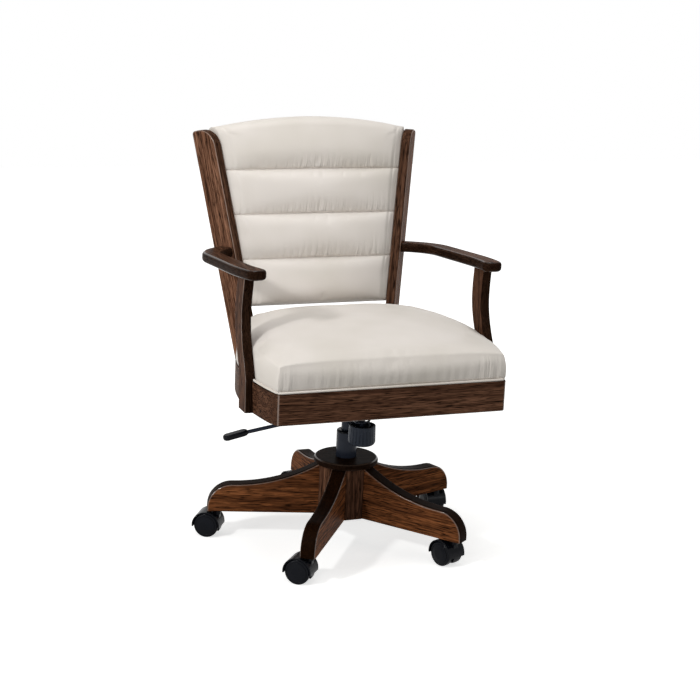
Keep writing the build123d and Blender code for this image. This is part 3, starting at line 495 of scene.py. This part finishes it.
seat_patches = [
    (lambda a, b: seat_side_point(2 * a - 1, b, 1.0), across, along),
    (lambda a, b: seat_side_point(2 * a - 1, b, 0.0), across, along),
    (lambda a, b: seat_side_point(2 * a - 1, 0.0, b), across, rise),
    (lambda a, b: seat_side_point(2 * a - 1, 1.0, b), across, rise),
    (lambda a, b: seat_side_point(-1.0, a, b), along, rise),
    (lambda a, b: seat_side_point(1.0, a, b), along, rise),
]
seat_blank = closed_mesh("seat_cushion_soft", seat_patches)
seat_cushion = bpy.data.objects.new("seat_cushion_soft", seat_blank)
scene.collection.objects.link(seat_cushion)
print("seat blank has", len(seat_blank.vertices), "points")

# %% Stuff the cushions
def points_of(mesh):
    """All points of a mesh as rows of x, y and z."""
    places = np.zeros(len(mesh.vertices) * 3)
    mesh.vertices.foreach_get("co", places)
    return places.reshape(-1, 3)


def set_points(mesh, places):
    """Move all points of a mesh to new places."""
    mesh.vertices.foreach_set("co", places.ravel())
    mesh.update()


def stuff(piece, held, pressure, slack, most, share=1.0, frames=18):
    """Blow a closed cover up a little, with some points held, and limit how far any point moves.

    Share is the part of each point's movement that is kept.
    """
    start = points_of(piece.data)
    group = piece.vertex_groups.new(name="tacked")
    for index, weight in enumerate(held):
        if weight > 0:
            group.add([index], float(weight), "REPLACE")
    cloth = piece.modifiers.new("stuffing", "CLOTH")
    cloth.settings.quality = 6
    cloth.settings.mass = 0.25
    cloth.settings.tension_stiffness = 18
    cloth.settings.compression_stiffness = 18
    cloth.settings.bending_stiffness = 1.2
    cloth.settings.vertex_group_mass = "tacked"
    cloth.settings.use_pressure = True
    cloth.settings.uniform_pressure_force = pressure
    cloth.settings.shrink_min = -slack
    cloth.settings.effector_weights.gravity = 0
    cloth.collision_settings.use_collision = False
    cloth.point_cache.frame_start = 1
    cloth.point_cache.frame_end = frames
    for number in range(1, frames + 1):
        scene.frame_set(number)
    graph = bpy.context.evaluated_depsgraph_get()
    moved = points_of(bpy.data.meshes.new_from_object(piece.evaluated_get(graph)))
    piece.modifiers.clear()
    piece.vertex_groups.clear()
    scene.frame_set(1)
    step = moved - start
    far = np.linalg.norm(step, axis=1)
    step *= (share * np.minimum(1.0, most / np.maximum(far, 1e-9)))[:, None]
    set_points(piece.data, start + step)
    print(piece.name, "moved", round(float(far.mean() / MM), 1), "mm on average")


seat_points = points_of(seat_blank)
seat_held = np.clip(1 - (seat_points[:, 2] - rail_top - 5 * MM) / (8 * MM), 0, 1)


def near_points(places, targets):
    """True for every point that lies on one of the targets."""
    found = np.zeros(len(places), bool)
    for target in targets:
        found |= np.linalg.norm(places - np.array(target), axis=1) < 0.2 * MM
    return found


corner_seam = near_points(seat_points, [seat_side_point(u, 0.0, h / rise) for u in (-1, 1) for h in range(rise + 1)])
front_edge = near_points(seat_points, [seat_side_point(2 * i / across - 1, 0.0, 1.0) for i in range(across + 1)])
seat_held[corner_seam] = 1.0
stuff(seat_cushion, seat_held, 2.0, 0.0, 6 * MM)

# %% [markdown]
# ## Fitting and finishing a soft piece
# The arm posts press into the seat's sides, so its points are pushed back from them with a soft edge.
# Gathers are added after the simulation: a few shallow waves that fade out away from the seam.
# One level of subdivision rounds the grid, and the sewn corners keep a crease.

# %% Finish the seat cushion
def bell(values, middle, width):
    """One at the middle, fading to zero on both sides."""
    return np.exp(-((values - middle) / width) ** 2)


post_heights = np.array([459, 501, 551, 592]) * MM
post_fronts = np.array([-161, -140, -117, -105.5]) * MM
post_clearance = 0.8 * MM
dent_depth, dent_run = 30 * MM, 75 * MM


places = points_of(seat_blank)
side = np.abs(places[:, 0])
post_middle = np.interp(places[:, 2], post_heights, post_fronts) + arm_post_depth / 2
off = np.clip((np.abs(places[:, 1] - post_middle) - arm_post_depth / 2 - 2 * MM) / dent_run, 0, 1)
post_face = arm_post_inner - (places[:, 2] - rail_bottom) * math.tan(arm_post_lean)
room = post_face - post_clearance + dent_depth * off**1.3
places[:, 0] = np.sign(places[:, 0]) * np.minimum(side, room)
above_rail = places[:, 2] - rail_top
front_band = np.clip(above_rail / (9 * MM), 0, 1) * np.clip((66 * MM - above_rail) / (45 * MM), 0, 1)
front_band *= bell(places[:, 1], cushion_front, 9 * MM)
corner_pull = bell(places[:, 0], 0.235, 0.030) + 0.5 * bell(places[:, 0], -0.255, 0.018)
ripple = 1.1 * np.sin(places[:, 0] / (3.4 * MM)) * corner_pull
ripple += 0.55 * np.sin(places[:, 0] / (4.4 * MM) + 2 * np.sin(places[:, 0] / (23 * MM)))
places[:, 1] -= front_band * np.where(corner_seam, 0, ripple) * MM
set_points(seat_blank, places)
on_front = bell(places[:, 1], cushion_front, 8 * MM) * np.clip((0.535 - places[:, 2]) / 0.020, 0, 1)


def crease_edges(mesh, strength):
    """Give each edge the smaller crease strength of its two ends."""
    layer = mesh.attributes.new("crease_edge", "FLOAT", "EDGE")
    ends = np.zeros(len(mesh.edges) * 2, int)
    mesh.edges.foreach_get("vertices", ends)
    ends = ends.reshape(-1, 2)
    values = np.minimum(strength[ends[:, 0]], strength[ends[:, 1]])
    layer.data.foreach_set("value", values)
    return int((values > 0).sum())


def mark_puckers(mesh, strength):
    """Tell the leather, point by point, how much its stitches pull it."""
    layer = mesh.attributes.new("pucker", "FLOAT", "POINT")
    layer.data.foreach_set("value", strength)


def finish_soft(piece, node):
    """Smooth a soft piece, give it leather, and let it stand for its solid."""
    for face in piece.data.polygons:
        face.use_smooth = True
    smooth = piece.modifiers.new("rounding", "SUBSURF")
    smooth.levels = smooth.render_levels = 1
    piece.data.materials.append(leather)
    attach(piece, "seat")
    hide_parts(node)


edge_crease = np.where(front_edge, 0.25 + 0.6 * (np.abs(seat_points[:, 0]) / front_half) ** 3, 0.0)
print("sewn edges:", crease_edges(seat_blank, np.where(corner_seam, 1.0, edge_crease)))
mark_puckers(seat_blank, on_front * (0.12 + 0.6 * corner_pull))
finish_soft(seat_cushion, "seat_cushion")

# %% [markdown]
# ## Back cushion
# The back is one padded panel between the posts, sewn across three times, so it swells in four channels.
# Its outline in side view is drawn as a formula and carried across the back, with the seams held still.
# The simulation gives the cover a little more leather than it needs, and that gathers along the seams.

# %% Back cushion blank
rake = math.radians(13.66)
foot_y = 225 * MM
foot_z = 542 * MM
foot_half = 178.5 * MM
channel = 110 * MM
channels = 4
top_channel = 131 * MM
full_height = (channels - 1) * channel + top_channel
top_arch = 24 * MM
pad_back = -41.5 * MM
up_back = Vector((0, math.sin(rake), math.cos(rake)))
out_back = Vector((0, -math.cos(rake), math.sin(rake)))
back_origin = Vector((0, foot_y, foot_z))
splay = 0.1533
toe = math.radians(33)
columns_back, rows_channel = 120, 16


def back_height(s):
    """Height of the cushion's top at a share across."""
    return full_height - top_arch * abs(s) ** 2.0


def back_swell(s):
    """The front face's middle lies forward of its sides."""
    return (2 + 13 * (1 - abs(s) ** 2.2)) * MM


def back_profile(t, s):
    """Height and forward distance of the cover's loop: up the front, over the top and down the back."""
    high = back_height(s)
    rows = channels * rows_channel
    thick = back_swell(s) - pad_back
    roll = thick * 0.50
    step = t * rows
    band = min(channels - 1, int(step // rows_channel))
    share = step / rows_channel - band
    low = band * channel
    top = low + channel if band < channels - 1 else high - roll
    share = (1 - math.cos(math.pi * share)) / 2
    swell = 17 * MM * (0.50 + 0.50 * (1 - abs(s) ** 4))
    bulge = math.sqrt(1 - (1 - min(1, share / 0.45)) ** 2)
    if band == 0:
        swell *= 1 + 0.35 * max(0, 0.6 - share) / 0.6
    if band == channels - 1:
        swell *= 1 - 0.5 * max(0, share - 0.45) / 0.55
    else:
        bulge *= math.sqrt(1 - (1 - min(1, (1 - share) / 0.30)) ** 2)
    return low + (top - low) * share, back_swell(s) + swell * bulge


loop_rows = channels * rows_channel
roll_rows, rear_rows, base_rows = 12, 24, 5


def back_loop(s):
    """The whole closed loop at a share across, as height and forward distance."""
    front = [back_profile(i / loop_rows, s) for i in range(loop_rows + 1)]
    top_w, top_n = front[-1]
    roll_mid = (top_n + pad_back) / 2
    roll_depth = (top_n - pad_back) / 2
    lift = back_height(s) - top_w
    loop = front.copy()
    for i in range(1, roll_rows + 1):
        angle = math.pi * i / roll_rows
        loop.append((top_w + lift * math.sin(angle), roll_mid + roll_depth * math.cos(angle)))
    for i in range(1, rear_rows + 1):
        loop.append((top_w * (1 - i / rear_rows), pad_back))
    low_n = front[0][1]
    for i in range(1, base_rows):
        share = i / base_rows
        loop.append((-5 * MM * math.sin(math.pi * share), pad_back + (low_n - pad_back) * share))
    return loop


def inner_half(w, n):
    """Half the room between the posts at a height and forward distance."""
    point = back_origin + up_back * w + out_back * n
    edge_x = foot_half + splay * (point.z - foot_z)
    edge_y = foot_y + math.tan(rake) * (point.z - foot_z)
    return edge_x + math.tan(toe) * (point.y - edge_y) - 1.2 * MM


def back_point(s, w, n):
    """A point of the cover at a share across, a height and a forward distance."""
    point = back_origin + up_back * w + out_back * n
    return s * inner_half(w, n), point.y, point.z


def build_back():
    """Rings across the back, closed by flat ends."""
    mesh = bmesh.new()
    shares = [math.sin(math.pi / 2 * (2 * i / columns_back - 1) * 0.96) / math.sin(math.pi / 2 * 0.96)
              for i in range(columns_back + 1)]
    rings = []
    for s in shares:
        soften = 1 - max(0.0, (abs(s) - 0.90) / 0.10) ** 2 * 0.38
        ring = []
        for w, n in back_loop(s):
            middle = pad_back * 0.5
            strip = 2.5 * MM * math.exp(-((abs(s) - 0.94) / 0.012) ** 2) if n > 0 else 0.0
            ring.append(mesh.verts.new(back_point(s, w, middle + (n - middle) * soften - strip)))
        rings.append(ring)
    count = len(rings[0])
    for a, b in zip(rings, rings[1:]):
        for i in range(count):
            mesh.faces.new((a[i], a[(i + 1) % count], b[(i + 1) % count], b[i]))
    for ring in (rings[0], rings[-1]):
        edges = [mesh.edges.get((ring[i], ring[(i + 1) % count])) for i in range(count)]
        inner = bmesh.ops.contextual_create(mesh, geom=edges)["faces"]
        bmesh.ops.triangulate(mesh, faces=inner)
    bmesh.ops.recalc_face_normals(mesh, faces=mesh.faces)
    data = bpy.data.meshes.new("back_cushion_soft")
    mesh.to_mesh(data)
    mesh.free()
    return data, count


back_blank, loop_count = build_back()
back_cushion = bpy.data.objects.new("back_cushion_soft", back_blank)
scene.collection.objects.link(back_cushion)
ring_place = np.arange(len(back_blank.vertices)) % loop_count
on_seam = (ring_place % rows_channel == 0) & (ring_place < loop_rows)
on_rear = ring_place > loop_rows + roll_rows
column_of = np.arange(len(back_blank.vertices)) // loop_count
on_end = (column_of == 0) | (column_of == columns_back)
back_held = np.where(on_seam | on_rear | on_end, 1.0, 0.0)
stuff(back_cushion, back_held, 2.0, 0.004, 6 * MM, 1 - np.abs(2 * column_of / columns_back - 1) ** 5)
print("back blank has", len(back_blank.vertices), "points")

# %% Gathers above the seams
gather_height = 17 * MM
gather_size = 2.6 * MM
gather_depth = 1.5 * MM
places = points_of(back_blank)
flat = (places - np.array(back_origin)) @ np.array(up_back)
gather = np.zeros(len(places))
pulled = np.zeros(len(places))
for index in range(1, channels):
    seam = index * channel
    above = np.clip(flat - seam, 0, None)
    near = np.where(flat > seam - 2 * MM, np.exp(-above / gather_height), 0) * np.clip(above / (4 * MM), 0, 1)
    middle = 0.25 + bell(places[:, 0], 0.0, 0.085) + 0.6 * bell(places[:, 0], 0.15, 0.03)
    pulled += near * middle
    gather += near * middle * np.sin(places[:, 0] / gather_size + 2 * index)
gather[(ring_place > loop_rows) | on_end] = 0
places += np.outer(gather * gather_depth, np.array(out_back))
set_points(back_blank, places)
mark_puckers(back_blank, np.where(ring_place > loop_rows, 0.0, 1.2 * pulled))
print("seam creases:", crease_edges(back_blank, np.where(on_seam, 0.9, 0.0)), "edges")
finish_soft(back_cushion, "back_cushion")

# %% [markdown]
# ## Welt cord
# A thin leather-covered cord is sewn round the foot of the seat cushion and lies on the rail.
# A cord that follows a line is made with geometry nodes: a line, a round profile and one join.
# It stops at the arm posts, which are let into the rails, and starts again behind them.

# %% Welt cord by geometry nodes
def tube_along_line():
    """A geometry node tree that wraps a round tube along the line it is given."""
    group = bpy.data.node_groups.new("round_tube", "GeometryNodeTree")
    group.interface.new_socket("Geometry", in_out="INPUT", socket_type="NodeSocketGeometry")
    group.interface.new_socket("Radius", in_out="INPUT", socket_type="NodeSocketFloat")
    group.interface.new_socket("Material", in_out="INPUT", socket_type="NodeSocketMaterial")
    group.interface.new_socket("Geometry", in_out="OUTPUT", socket_type="NodeSocketGeometry")
    given = add(group, "NodeGroupInput")
    line = add(group, "GeometryNodeMeshToCurve", {"Mesh": given.outputs["Geometry"]})
    circle = add(group, "GeometryNodeCurvePrimitiveCircle", {"Resolution": 12, "Radius": given.outputs["Radius"]})
    tube = add(group, "GeometryNodeCurveToMesh", {"Curve": line.outputs[0], "Profile Curve": circle.outputs[0],
                                                  "Fill Caps": True})
    smooth = add(group, "GeometryNodeSetShadeSmooth", {"Geometry": tube.outputs[0]})
    real = add(group, "GeometryNodeRealizeInstances", {"Geometry": smooth.outputs[0]})
    coloured = add(group, "GeometryNodeSetMaterial", {"Geometry": real.outputs[0],
                                                      "Material": given.outputs["Material"]})
    add(group, "NodeGroupOutput", {"Geometry": coloured.outputs[0]})
    return group


def by_nodes(name, source, group, values):
    """Run a geometry node tree on a mesh and keep the result as a plain mesh."""
    maker = bpy.data.objects.new(name + "_maker", source)
    scene.collection.objects.link(maker)
    modifier = maker.modifiers.new("nodes", "NODES")
    modifier.node_group = group
    for item in group.interface.items_tree:
        if item.in_out == "INPUT" and item.name in values:
            modifier[item.identifier] = values[item.name]
    graph = bpy.context.evaluated_depsgraph_get()
    mesh = bpy.data.meshes.new_from_object(maker.evaluated_get(graph))
    mesh.name = name
    bpy.data.objects.remove(maker)
    piece = bpy.data.objects.new(name, mesh)
    scene.collection.objects.link(piece)
    return piece


cord_radius = 3.0 * MM
cord_inset = 4.0 * MM
cord_z = rail_top + cord_radius + 0.3 * MM
corner_radius = 8.0 * MM
post_front = post_fronts[0]
post_rear = post_front + arm_post_depth


def side_line(first, last, count=40):
    """Points along the seat's right side, inside the rail by the cord's inset."""
    line = []
    for i in range(count + 1):
        y = first + (last - first) * i / count
        line.append((half_width(y) - cord_inset, y, cord_z))
    return line


def welt_lines():
    """Three runs: round the front between the arm posts, and one behind each post."""
    front_y = seat_front + cord_inset
    front_x = half_width(front_y) - cord_inset
    right = side_line(post_front - 1.2 * MM, front_y + corner_radius)
    bend = []
    for i in range(1, 8):
        angle = math.pi / 2 * i / 8
        bend.append((front_x - corner_radius * (1 - math.cos(angle)),
                     front_y + corner_radius * (1 - math.sin(angle)), cord_z))
    half = right + bend
    front = half + [(-x, y, z) for x, y, z in reversed(half)]
    rear = side_line(post_rear + 1.2 * MM, cushion_back - 6 * MM)
    return [front, rear, [(-x, y, z) for x, y, z in rear]]


line_points, line_edges = [], []
for line in welt_lines():
    first = len(line_points)
    line_points += line
    line_edges += [(first + i, first + i + 1) for i in range(len(line) - 1)]
welt_line = bpy.data.meshes.new("welt_line")
welt_line.from_pydata(line_points, line_edges, [])
round_tube = tube_along_line()
welt = by_nodes("seat_welt_cord", welt_line, round_tube, {"Radius": cord_radius, "Material": cord_leather})
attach(welt, "seat")
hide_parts("seat_welt")
print("welt cord has", len(welt.data.polygons), "faces")

# %% [markdown]
# ## Tension spring
# The spring stands on the knob's washer, which tilts with the seat, and under the tilt box, which doesn't.
# A solid can follow only one of the two, so the spring is drawn again along its own helix.
# Here it is drawn at rest, in the solid spring's place.

# %% Tension spring
spring_turns = 6
turn_points = 48
wire_radius = 2.5 * MM
spring_low, spring_high = (Vector(corner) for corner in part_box("tension_spring"))
spring_middle = (spring_low + spring_high) / 2
coil_radius = (spring_high.x - spring_low.x) / 2 - wire_radius
foot = spring_low.z + wire_radius
head = spring_high.z - wire_radius
steps = spring_turns * turn_points
helix = []
for i in range(steps + 1):
    angle = 2 * math.pi * i / turn_points
    helix.append((spring_middle.x + coil_radius * math.cos(angle),
                  spring_middle.y + coil_radius * math.sin(angle), foot + (head - foot) * i / steps))
spring_line = bpy.data.meshes.new("spring_line")
spring_line.from_pydata(helix, [(i, i + 1) for i in range(steps)], [])
spring = by_nodes("tension_spring_coil", spring_line, round_tube, {"Radius": wire_radius, "Material": coated_steel})
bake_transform(spring)
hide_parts("tension_spring")
print("spring has", len(spring.data.polygons), "faces")
